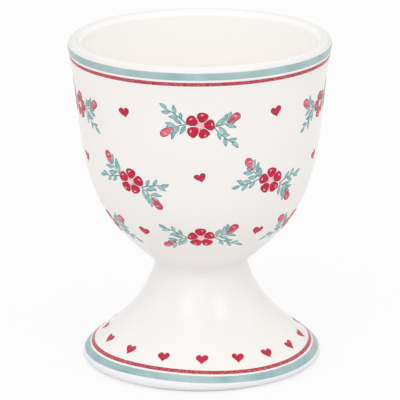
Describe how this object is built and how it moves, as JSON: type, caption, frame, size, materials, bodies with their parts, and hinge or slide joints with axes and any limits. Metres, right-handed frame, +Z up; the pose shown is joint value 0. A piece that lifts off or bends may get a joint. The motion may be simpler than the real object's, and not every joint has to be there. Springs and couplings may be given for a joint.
{
  "type": "egg cup",
  "caption": "Footed porcelain egg cup: a deep round bowl with a flared lip on a hollow trumpet foot, white glaze with bands, hearts and posies.",
  "frame": {"origin": "centre of the standing ring, on the plane of the table", "axes": "+Z up along the axis of the cup, -Y towards the front, where a posy of the upper row faces"},
  "size_m": [0.0514, 0.0514, 0.065],
  "materials": {
    "bisque": "bare fired porcelain, fine and matte",
    "slip": "fired joining slip",
    "glaze": "warm white glossy glaze",
    "teal_enamel": "blue-green overglaze enamel",
    "red_enamel": "raspberry overglaze enamel",
    "pink_enamel": "rose overglaze enamel",
    "pale_enamel": "pale pink overglaze enamel",
    "leaf_enamel": "two-tone blue-green overglaze enamel"
  },
  "bodies": {
    "root": {"bowl": "bisque", "pedestal": "bisque", "slip_joint": "slip", "glaze_coat": "glaze", "recess_glaze": "glaze", "rim_band": "teal_enamel", "rim_line": "red_enamel", "foot_band": "teal_enamel", "foot_line": "red_enamel", "foot_hearts": "red_enamel", "bowl_hearts": "red_enamel", "petals": "red_enamel", "blossom_centres": "pale_enamel", "buds": "pink_enamel", "leaves": "leaf_enamel", "stems": "leaf_enamel"}
  },
  "joints": []
}
